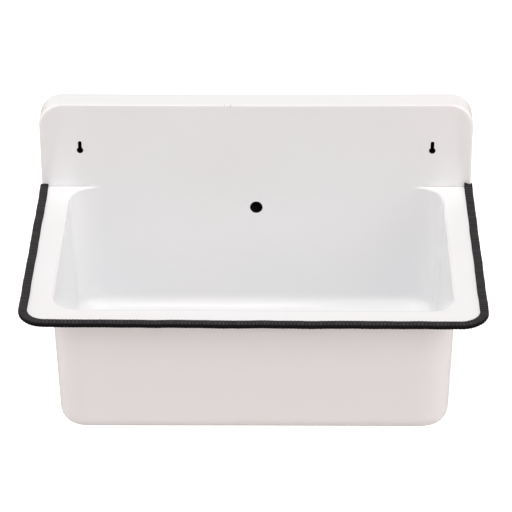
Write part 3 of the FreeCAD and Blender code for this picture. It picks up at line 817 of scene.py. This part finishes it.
def side_edge():
    """Left edge of the flat face from the rim up and round the corner: x, z, the fold's radius, normal."""
    z = np.concatenate([np.linspace(RIM_Z, KEYHOLE_LOW, UNDER_ROWS, endpoint=False),
                        np.linspace(KEYHOLE_LOW, KEYHOLE_HIGH, BESIDE_ROWS),
                        np.linspace(KEYHOLE_HIGH, SPLASH_KNEE, OVER_ROWS, endpoint=False)[1:]])
    swell = np.clip((z - SWELL_FROM) / (SPLASH_KNEE - SWELL_FROM), 0, 1)
    upright = FOLD_SIDE + (FOLD_KNEE - FOLD_SIDE) * swell ** 2 * (3 - 2 * swell)
    part = np.linspace(0, 1, CORNER_ROWS)
    angle = np.pi / 2 * part
    bent = FOLD_KNEE * (1 - part) + FOLD_TOP * part + FOLD_CORNER * np.sin(np.pi * part)
    reach = SPLASH_CORNER_R - bent
    x = np.concatenate([upright - SPLASH_HALF, SPLASH_CORNER_R - SPLASH_HALF - reach * np.cos(angle)])
    nx = np.concatenate([-np.ones_like(z), -np.cos(angle)])
    nz = np.concatenate([0 * z, np.sin(angle)])
    z = np.concatenate([z, SPLASH_KNEE + reach * np.sin(angle)])
    return x, z, np.concatenate([upright, bent]), nx, nz


print("crease", crease_points().shape, "side", side_edge()[0].shape)

# %% Face and fold
FOLD_ROWS, RETURN_ROWS = 8, 6
FOOT_Z = RIM_Z - LIP_R


def face_grid():
    """Rows from the top down, columns from right to left; each row is the crease narrowed to the edge."""
    crease = crease_points()
    x, z = side_edge()[:2]
    part = (z - RIM_Z) / (z[-1] - RIM_Z)
    height = crease[None, :, 2] + part[:, None] * (z[-1] - crease[None, :, 2])
    across = crease[None, :, 0] * (-x / crease[0, 0])[:, None]
    grid = np.stack([across, 0 * across, height], -1)
    return grid[::-1]


def fold_grid(face):
    """Rows round the fold and back to the wall, columns from the left foot over the top to the right."""
    x, z, fold, nx, nz = side_edge()
    top = face[0, ::-1][1:-1]
    flat = np.full(len(top), FOLD_TOP)
    edge_x = np.concatenate([x[:1], x, top[:, 0], -x[::-1], -x[:1]])
    edge_z = np.concatenate([[FOOT_Z], z, top[:, 2], z[::-1], [FOOT_Z]])
    radius = np.concatenate([fold[:1], fold, flat, fold[::-1], fold[:1]])
    out_x = np.concatenate([nx[:1], nx, 0 * flat, -nx[::-1], -nx[:1]])
    out_z = np.concatenate([nz[:1], nz, 0 * flat + 1, nz[::-1], nz[:1]])
    turn = np.linspace(0, np.pi / 2, FOLD_ROWS + 1)[:, None]
    back = np.linspace(0, 1, RETURN_ROWS + 1)[1:, None]
    push = np.concatenate([radius * np.sin(turn), radius + 0 * back])
    deep = np.concatenate([radius * (1 - np.cos(turn)), radius + (SPLASH_DEPTH - radius) * back])
    return np.stack([edge_x + push * out_x, deep, edge_z + push * out_z], -1)


face = face_grid()
fold = fold_grid(face)
print("face grid", face.shape, "fold grid", fold.shape)

# %% [markdown]
# ## Holes
# The two keyholes and the overflow are punched before enamelling. For each one a block of cells is taken
# out of its grid and a collar of rings is put in its place: the outer ring is the edge of the block, the
# inner ring is the hole, and both start to the right of the hole's middle and run round in as many steps.

# %% Outline of a keyhole
KEYHOLE_ENTRY_R = mounts["hanging_keyholes"]["dims"]["hole_r_mm"] / 1000
KEYHOLE_SLOT, KEYHOLE_REACH = 0.0043, 0.012


def arc_points(across, up, radius, start, end, count):
    """Points on a circle's arc, its middle given and its angles in degrees."""
    angle = np.radians(np.linspace(start, end, count))
    return np.column_stack([across + radius * np.cos(angle), up + radius * np.sin(angle)])


def keyhole_edge():
    """Round entry with a slot above it, counter-clockwise from the point to the right of the entry."""
    slot = KEYHOLE_SLOT / 2
    neck = math.degrees(math.asin(slot / KEYHOLE_ENTRY_R))
    return np.concatenate([arc_points(0, 0, KEYHOLE_ENTRY_R, 0, 90 - neck, 60),
                           arc_points(0, KEYHOLE_REACH - slot, slot, 0, 180, 90),
                           arc_points(0, 0, KEYHOLE_ENTRY_R, 90 + neck, 360, 240)])


print("keyhole", keyhole_edge().shape)

# %% Rings between a block of cells and a hole
COLLAR_ROWS, COLLAR_EASE, FAR = 6, 0.8, 9.0


def block_loop(rows, columns):
    """Rows and columns of the cells' corners round a block, counter-clockwise seen from the front."""
    r0, r1 = rows
    c0, c1 = columns
    down, across = np.arange(r0, r1), np.arange(c1, c0, -1)
    up, back = np.arange(r1, r0, -1), np.arange(c0, c1)
    r = np.concatenate([down, 0 * across + r1, up, 0 * back + r0])
    c = np.concatenate([0 * down + c1, across, 0 * up + c0, back])
    return r, c


def share(points):
    """Distance along a line of points as a share of its whole length."""
    along = np.concatenate([[0], np.cumsum(np.linalg.norm(np.diff(points, axis=0), axis=1))])
    return along / along[-1]


def collar(grid, rows, columns, middle, hole):
    """Rings from the block's edge to the hole, on the wall's own curve in Y."""
    r, c = block_loop(rows, columns)
    edge = grid[r, c][:, [0, 2]]
    first = np.argmin(np.where(edge[:, 0] > middle[0], np.abs(edge[:, 1] - middle[1]), FAR))
    edge = np.roll(edge, -first, axis=0)
    part = share(np.concatenate([edge, edge[:1]]))[:-1]
    around = share(hole)
    inner = np.array(middle) + np.column_stack([np.interp(part, around, hole[:, k]) for k in (0, 1)])
    step = np.linspace(0, 1, COLLAR_ROWS + 1)[:, None, None] ** COLLAR_EASE
    flat = edge * (1 - step) + inner * step
    depth = RIM_Z - flat[..., 1]
    wall = np.where(depth > LIP_R, rear_y(np.maximum(depth, LIP_R)), 0.0)
    return np.stack([flat[..., 0], wall, flat[..., 1]], -1)


print("rings in a collar", COLLAR_ROWS)

# %% Collars of the keyholes and the overflow
def near_block(values, low, high):
    """First and last index of a run of places that lie between two limits."""
    inside = np.flatnonzero((values > low - SLACK) & (values < high + SLACK))
    return inside[0], inside[-1]


def keyhole_collar(side):
    """Collar of one keyhole, and the block of the face's cells that it takes the place of."""
    low, high = sorted((side * (KEYHOLE_X - KEYHOLE_HALF), side * (KEYHOLE_X + KEYHOLE_HALF)))
    columns = near_block(face[-1, :, 0], low, high)
    rows = near_block(face[:, 0, 2], KEYHOLE_LOW, KEYHOLE_HIGH)
    return rows, columns, collar(face, rows, columns, (side * KEYHOLE_X, 0.0), keyhole_edge())


def overflow_collar():
    """Collar of the overflow hole, and the block of the back wall's cells that it takes the place of."""
    across = np.where(np.arange(basin.shape[1]) < rim.shape[1], FAR, basin[0, :, 0])
    columns = near_block(across, -OVERFLOW_HALF, OVERFLOW_HALF)
    rows = near_block(RIM_Z - basin[:, 0, 2], OVERFLOW_ABOVE, OVERFLOW_BELOW)
    hole = arc_points(0, 0, OVERFLOW_R, 0, 360, 241)
    return rows, columns, collar(basin, rows, columns, (0.0, RIM_Z - OVERFLOW_DROP), hole)


keyholes = [keyhole_collar(side) for side in (-1, 1)]
overflow = overflow_collar()
print("collars", [k[2].shape for k in keyholes], overflow[2].shape)

# %% [markdown]
# ## One welded sheet
# The grids are joined where their edges meet, and the sheet gets its thickness behind the wet side, a
# little less at the rim and the splashback than in the basin. Where a hole is punched, the white coat stops
# short and the dark ground coat shows on the cut edge. A pressing this wide is never quite true: the top
# edge sags in the middle, the front of the rim is twisted down to the right, and the flats drift by a few
# tenths of a millimetre, which is what makes long reflections on enamel wander.

# %% Small errors of the pressing
SAG, SAG_FROM, SAG_OVER, SAG_HALF, SAG_FRONT = 0.0014, -0.02, 0.0775, 0.21, 0.45
TWIST, TWIST_LEFT, TWIST_FADE = 0.00115, -0.28, 0.06
# Waves of the drift: rate and start along X, then rate and start across.
DRIFT, FACE_WAVES, RIM_WAVES = 0.00022, (21, 0.7, 34, 1.1), (17, 2.0, 23, 0.4)


def crossed_waves(along, across, waves):
    """Product of two sine waves, one along each direction."""
    rate, start, cross_rate, cross_start = waves
    return np.sin(along * rate + start) * np.sin(across * cross_rate + cross_start)


def untrue(points):
    """Small slow errors of a pressed sheet, the same for every grid so that their edges still meet."""
    x, y, z = np.moveaxis(points, -1, 0)
    back = np.clip(y / SPLASH_DEPTH, 0, 1)
    up = np.clip((z - SAG_FROM) / SAG_OVER, 0, 1) ** 2
    high = np.clip((z - RIM_Z) / TWIST_FADE + 1, 0, 1) * (1 - up)
    middle = np.clip(1 - (x / SAG_HALF) ** 2, 0, 1)
    moved = points.copy()
    moved[..., 2] -= SAG * up * middle * (SAG_FRONT + (1 - SAG_FRONT) * back)
    moved[..., 2] -= TWIST * (x / RIM_HALF + TWIST_LEFT) * np.clip(y / RIM_FRONT, 0, None) * high
    moved[..., 1] += DRIFT * crossed_waves(x, z, FACE_WAVES) * (1 - back)
    moved[..., 2] += DRIFT * crossed_waves(x, y, RIM_WAVES) * (1 - up)
    return moved


print("rim moved by up to", round(np.abs(untrue(rim) - rim).max(), 5))

# %% Weld the grids
WELD = 2e-6


def grid_faces(rows, columns, closed=False, start=0, without=()):
    """Four corners of every cell, in the order that faces the wet side; a closed grid joins its ends."""
    index = start + np.arange(rows * columns).reshape(rows, columns)
    if closed:
        index = np.concatenate([index, index[:, :1]], 1)
    quads = np.stack([index[:-1, :-1], index[:-1, 1:], index[1:, 1:], index[1:, :-1]], -1)
    keep = np.ones(quads.shape[:2], bool)
    for (r0, r1), (c0, c1) in without:
        keep[r0:r1, c0:c1] = False
    return quads[keep]


def add_object(name, points, quads, extra=()):
    """A mesh object from arrays of points and four-cornered faces."""
    mesh = bpy.data.meshes.new(name)
    mesh.from_pydata(points.tolist(), [], quads.tolist() + [list(f) for f in extra])
    mesh.polygons.foreach_set("use_smooth", np.ones(len(mesh.polygons), bool))
    piece = bpy.data.objects.new(name, mesh)
    scene.collection.objects.link(piece)
    return piece


def welded_sheet():
    """All grids in one mesh, with the points that their edges share merged."""
    parts = [(rim, False, ()), (basin, True, [overflow[:2]]), (face, False, [k[:2] for k in keyholes]),
             (fold, False, ())]
    parts += [(hole[2], True, ()) for hole in (*keyholes, overflow)]
    points, quads, start = [], [], 0
    for grid, closed, without in parts:
        quads.append(grid_faces(*grid.shape[:2], closed, start, without))
        points.append(grid.reshape(-1, 3))
        start += grid.shape[0] * grid.shape[1]
    sheet = add_object("shell", untrue(np.concatenate(points)), np.concatenate(quads))
    weld = bmesh.new()
    weld.from_mesh(sheet.data)
    bmesh.ops.remove_doubles(weld, verts=weld.verts, dist=WELD)
    loose = [v for v in weld.verts if not v.link_faces]
    bmesh.ops.delete(weld, geom=loose, context="VERTS")
    weld.to_mesh(sheet.data)
    weld.free()
    return sheet


shell = welded_sheet()
print("sheet", len(shell.data.vertices), "points")

# %% Thicken the sheet
THIN, THIN_DEPTH, THIN_STEPS = 0.76, 0.02, 5
SHARP_SHEET = math.radians(60)


def gauge_group(sheet):
    """Vertex group from 0 at the rim and above to 1 in the basin, in a few steps."""
    places = np.empty(3 * len(sheet.data.vertices), np.float32)
    sheet.data.vertices.foreach_get("co", places)
    weight = np.clip((RIM_Z - LIP_R - places[2::3]) / THIN_DEPTH, 0, 1)
    step = np.round(weight * THIN_STEPS).astype(int)
    gauge = sheet.vertex_groups.new(name="gauge")
    for level in range(THIN_STEPS + 1):
        gauge.add(np.flatnonzero(step == level).tolist(), level / THIN_STEPS, "REPLACE")
    return gauge


def thicken(sheet):
    """Solidify behind the wet side, with the ground coat on the cut edges, kept as the piece's own mesh."""
    thick = sheet.modifiers.new("sheet", "SOLIDIFY")
    thick.thickness = SHEET
    thick.vertex_group = gauge_group(sheet).name
    thick.thickness_vertex_group = THIN
    thick.material_offset_rim = 1
    thick.offset = -1.0
    thick.use_even_offset = True
    thick.use_quality_normals = True
    for finish in ("white_enamel", "ground_coat_enamel"):
        sheet.data.materials.append(finishes[finish])
    whole = bpy.data.meshes.new_from_object(sheet.evaluated_get(bpy.context.evaluated_depsgraph_get()))
    whole.set_sharp_from_angle(angle=SHARP_SHEET)
    sheet.modifiers.clear()
    sheet.data = whole


thicken(shell)
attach(shell, "sink")
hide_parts("sink_shell")
print("shell", len(shell.data.vertices), "points")

# %% [markdown]
# ## Edging
# The edging is a soft U-shaped profile on a steel clip strip, pushed onto the rim by hand. The strip's
# teeth show through the skin as fine ribs, so the profile is carried along the rim with a rib every 4 mm.
# Hand fitting makes it waver by a few tenths of a millimetre, and both rear ends ride up the bend where the
# rim turns into the splashback. A short second length closes the right side, and its cut end is ragged.

# %% Section of the edging
trim_low, trim_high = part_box("rim_trim")
TRIM_HALF, TRIM_BACK = (trim_high[2] - trim_low[2]) / 2, trim_high[0] - RIM_HALF
TRIM_COVER, TRIM_BACK_R, TRIM_LIP_R = 0.0073, 0.0024, 0.0011
FLAT_IN, FLAT_OUT, CROWN = -0.0034, -0.0016, 0.0001
GROOVE_HALF, GROOVE_X = 0.00135, 0.0001
LIP_FEELS = 0.3


def trim_profile():
    """Closed U section, counter-clockwise: outwards and up, with how much each point feels the ribs."""
    lip_x, lip_z = TRIM_LIP_R - TRIM_COVER, TRIM_HALF - TRIM_LIP_R
    back_x, back_z = TRIM_BACK - TRIM_BACK_R, TRIM_HALF - TRIM_BACK_R
    top = TRIM_HALF + CROWN
    outer = np.concatenate([
        arc_points(lip_x, -lip_z, TRIM_LIP_R, 180, 270, 4),
        [(FLAT_IN, -TRIM_HALF), (FLAT_OUT, -TRIM_HALF)],
        arc_points(back_x, -back_z, TRIM_BACK_R, 270, 360, 6),
        arc_points(back_x, back_z, TRIM_BACK_R, 0, 90, 6),
        [(FLAT_OUT, top), (FLAT_IN, top)],
        arc_points(lip_x, lip_z, TRIM_LIP_R, 90, 180, 4)])
    groove = np.array([(-TRIM_COVER, GROOVE_HALF), (GROOVE_X, GROOVE_HALF), (GROOVE_X, -GROOVE_HALF),
                       (-TRIM_COVER, -GROOVE_HALF)])
    feels = np.concatenate([np.ones(len(outer)), np.zeros(len(groove))])
    feels[[0, len(outer) - 1]] = LIP_FEELS
    return np.concatenate([outer, groove]), feels


print("section", trim_profile()[0].shape)

# %% Carry a section along the rim
SHARP_SKIN = math.radians(55)


def rim_path(along, first_y):
    """Place and outward direction at a distance along the rim, from the right rear to the left rear."""
    quarter = RIM_CORNER_R * np.pi / 2
    lengths = np.cumsum([first_y - RIM_CORNER_Y, quarter, 2 * RIM_CORNER_X, quarter])
    turned = np.clip(along - lengths[0], 0, quarter) + np.clip(along - lengths[2], 0, quarter)
    out = np.column_stack([np.cos(turned / RIM_CORNER_R), -np.sin(turned / RIM_CORNER_R)])
    x = RIM_CORNER_X - np.clip(along - lengths[1], 0, 2 * RIM_CORNER_X)
    y = first_y - np.minimum(along, lengths[0]) + np.clip(along - lengths[3], 0, None)
    return np.column_stack([x, y]), out


def along_rim(offsets, along, first_y):
    """Points at offsets outwards and up from the rim's edge, at each distance along the rim."""
    place, out = rim_path(along, first_y)
    edge = place + RIM_CORNER_R * out
    x = edge[:, 0, None] + out[:, 0, None] * offsets[..., 0]
    y = edge[:, 1, None] + out[:, 1, None] * offsets[..., 0]
    return untrue(np.stack([x, y, RIM_Z - SHEET / 2 + offsets[..., 1]], -1))


def carried(name, points, node, slot):
    """A closed section carried along a path: cells between the rows, and a face at each end."""
    rows, columns = points.shape[:2]
    last = (rows - 1) * columns + np.arange(columns)
    ends = [np.arange(columns)[::-1].tolist(), last.tolist()]
    piece = add_object(name, points.reshape(-1, 3), grid_faces(rows, columns, True), ends)
    piece.data.set_sharp_from_angle(angle=SHARP_SKIN)
    piece.data.materials.append(finishes[slot])
    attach(piece, "sink")
    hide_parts(node)
    print(name, rows, "by", columns, "points")
    return piece


print("corner of the rim", round(RIM_CORNER_X, 4), round(RIM_CORNER_Y, 4))

# %% Ribs and hand fitting
RIB_PITCH, RIB_LOW, RIB_HIGH, RIB_ROUND = 0.00404, 0.7, 1.15, 0.7
TRIM_REAR, TRIM_SEAM, SEAM_GAP = -0.0005, -0.041, 0.0004
LEFT_RIDE, RIGHT_RIDE, RIDE_FADE = 0.0018, 0.0026, 0.0035
SEAM_LIFT, LIFT_FADE = 0.0006, 0.0015
random = np.random.default_rng(11)


def ribs(along):
    """Height of the ribs from 0 in a groove to 1 on a crest, each rib a little different."""
    number = np.floor(along / RIB_PITCH).astype(int)
    strength = random.uniform(RIB_LOW, RIB_HIGH, number.max() + 2)
    return strength[number] * np.abs(np.sin(np.pi * along / RIB_PITCH)) ** RIB_ROUND


def wavering(along, *waves):
    """Sum of sine waves along the rim, each with a height, a rate and a start."""
    return sum(height * np.sin(along * rate + start) for height, rate, start in waves)


def hand_fitted(along, first_y):
    """Slow waver outwards and up, the ride up the bend at the rear ends, and a lifted lip at the seam."""
    waver = wavering(along, (0.00018, 61, first_y * 9), (0.00012, 143, 1.3))
    rise = wavering(along, (0.00014, 78, 0.5), (0.00008, 187, 2.2))
    if first_y == TRIM_REAR:
        rise = rise + RIGHT_RIDE * np.exp(-along / RIDE_FADE)
        rise = rise + SEAM_LIFT * np.exp((along - along[-1]) / LIFT_FADE)
    else:
        rise = rise + LEFT_RIDE * np.exp((along - along[-1]) / RIDE_FADE)
    return np.stack([waver, rise], -1)[:, None]


LONG_START = TRIM_SEAM - SEAM_GAP
LONG = LONG_START + TRIM_REAR - 2 * RIM_CORNER_Y + np.pi * RIM_CORNER_R + 2 * RIM_CORNER_X
SHORT = TRIM_REAR - TRIM_SEAM
print("edging", round(LONG, 4), "and", round(SHORT, 4), "metres long")

# %% Two lengths of edging
RIB_DEPTH, STEPS_PER_RIB = 0.00045, 6
TORN, TORN_STEP, TIP_RISE = 0.0016, 1.9, 0.0028


def trim_length(name, first_y, length, node, torn=0.0, tips=0.0):
    """The section pulled in between the ribs and fitted by hand; a torn first end has two tips."""
    section, feels = trim_profile()
    along = np.linspace(0, length, int(length / RIB_PITCH * STEPS_PER_RIB) + 1)
    rib = ribs(along)
    inwards = section[feels > 0].mean(0) - section
    inwards /= np.linalg.norm(inwards, axis=1)[:, None]
    moved = section + (RIB_DEPTH * (1 - rib))[:, None, None] * feels[:, None] * inwards
    points = along_rim(moved + hand_fitted(along, first_y), along, first_y)
    points[0, :, 1] -= torn * (0.5 + 0.5 * np.sin(np.arange(len(section)) * TORN_STEP))
    middle, half = (TRIM_BACK - TRIM_COVER) / 2, (TRIM_BACK + TRIM_COVER) / 2
    points[0, :, 2] += tips * ((section[:, 0] - middle) / half) ** 2
    piece = carried(name, points, node, "black_edging")
    mask = piece.data.attributes.new("rib", "FLOAT", "POINT")
    mask.data.foreach_set("value", np.repeat(rib, len(section)).astype(np.float32))


trim_length("edging", LONG_START, LONG, "rim_trim")
trim_length("edging_end_piece", TRIM_REAR, SHORT, "rim_trim_end_piece", TORN, TIP_RISE)

# %% [markdown]
# ## Clip strip
# The strip inside the edging is bent from thin steel to the same U. Only its cut ends can be seen. It
# follows the same path and the same small errors of the rim as the edging, so it stays inside its skin.

# %% Clip strip carried along the rim
STRIP, STRIP_INSET, STRIP_BEND, STRIP_STEP = 0.0005, 0.0014, 0.0011, 0.0008
STRIP_X = (TRIM_BACK + GROOVE_X) / 2
STRIP_Z = (TRIM_HALF + GROOVE_HALF) / 2


def strip_profile():
    """U section of the strip: the outside from the lower lip up, then back along the inside."""
    edge = STRIP_INSET - TRIM_COVER
    x, z = STRIP_X - STRIP_BEND, STRIP_Z - STRIP_BEND
    rows = []
    for half in (STRIP / 2, -STRIP / 2):
        bend = STRIP_BEND + half
        rows.append(np.concatenate([[(edge, -STRIP_Z - half)], arc_points(x, -z, bend, 270, 360, 6),
                                    arc_points(x, z, bend, 0, 90, 6), [(edge, STRIP_Z + half)]]))
    return np.concatenate([rows[0], rows[1][::-1]])


def strip_length(name, first_y, length, node):
    """The strip's section at even steps along the rim, fitted by hand as its skin is."""
    along = np.linspace(0, length, int(length / STRIP_STEP) + 1)
    section = strip_profile() + hand_fitted(along, first_y)
    carried(name, along_rim(section, along, first_y), node, "clip_steel")


strip_length("clip_strip", LONG_START, LONG, "rim_trim_core")
strip_length("clip_strip_end_piece", TRIM_REAR, SHORT, "end_piece_core")

# %% [markdown]
# ## Floor
# The sink is seen against plain white. The floor is a pale matt plane well below it, which keeps its
# shadow. To the camera it also glows a little, so that it reads as white with no more light on the sink.

# %% Floor
GROUND_Z, GROUND_HALF = -0.9, 12.0
GROUND_COLOUR, GROUND_GLOW = (0.64, 0.59, 0.58, 1), 0.75


def bare_finish(name):
    """A material with no shader yet, its node tree and the socket for its surface."""
    material = bpy.data.materials.new(name)
    material.use_nodes = True
    tree = material.node_tree
    tree.nodes.clear()
    return material, tree, node(tree, "OutputMaterial").inputs["Surface"]


def studio_panes(name, corners, material):
    """Four-cornered panes of the studio, which are no pieces of the sink."""
    panes = np.arange(len(corners)).reshape(-1, 4)
    mesh = bpy.data.meshes.new(name)
    mesh.from_pydata(corners, [], panes.tolist())
    mesh.materials.append(material)
    pane = bpy.data.objects.new(name, mesh)
    scene.collection.objects.link(pane)
    return pane


pale, tree, surface = bare_finish("pale_floor")
glow = node(tree, "Emission")
seen = node(tree, "LightPath").outputs["Is Camera Ray"]
feed(tree, scaled(tree, seen, GROUND_GLOW), glow.inputs["Strength"])
both = node(tree, "AddShader")
feed(tree, node(tree, "BsdfDiffuse", Color=GROUND_COLOUR).outputs[0], both.inputs[0])
feed(tree, glow.outputs[0], both.inputs[1])
feed(tree, both.outputs[0], surface)
ground = [(x * GROUND_HALF, y * GROUND_HALF, GROUND_Z) for x, y in ((-1, -1), (1, -1), (1, 1), (-1, 1))]
studio_panes("floor", ground, pale)
print("floor at", GROUND_Z)

# %% [markdown]
# ## Dark behind the holes
# On a wall the hollow behind the splashback is in shade, and the holes look black. A black card just behind
# them is painted shade that stands in for that dark. It is seen only from the front, directly or mirrored,
# and gives no light.

# %% Dark card
CARD_Y, CARD_BLACK = 0.027, (0.001, 0.001, 0.001, 1)
CARD = ((-0.24, 0.24, -0.046, 0.045), (-0.02, 0.02, -0.115, -0.046))  # left, right, foot, top

dark, tree, surface = bare_finish("dark_card")
matt, clear = node(tree, "BsdfDiffuse", Color=CARD_BLACK), node(tree, "BsdfTransparent")
behind = node(tree, "NewGeometry").outputs["Backfacing"]
feed(tree, either(tree, behind, matt, clear), surface)
corners = []
for left, right, foot, top in CARD:
    corners += [(left, CARD_Y, foot), (right, CARD_Y, foot), (right, CARD_Y, top), (left, CARD_Y, top)]
card = studio_panes("dark_card", corners, dark)
for kind in ("diffuse", "shadow", "transmission", "volume_scatter"):
    setattr(card, "visible_" + kind, False)
print("dark card", len(CARD), "panes")
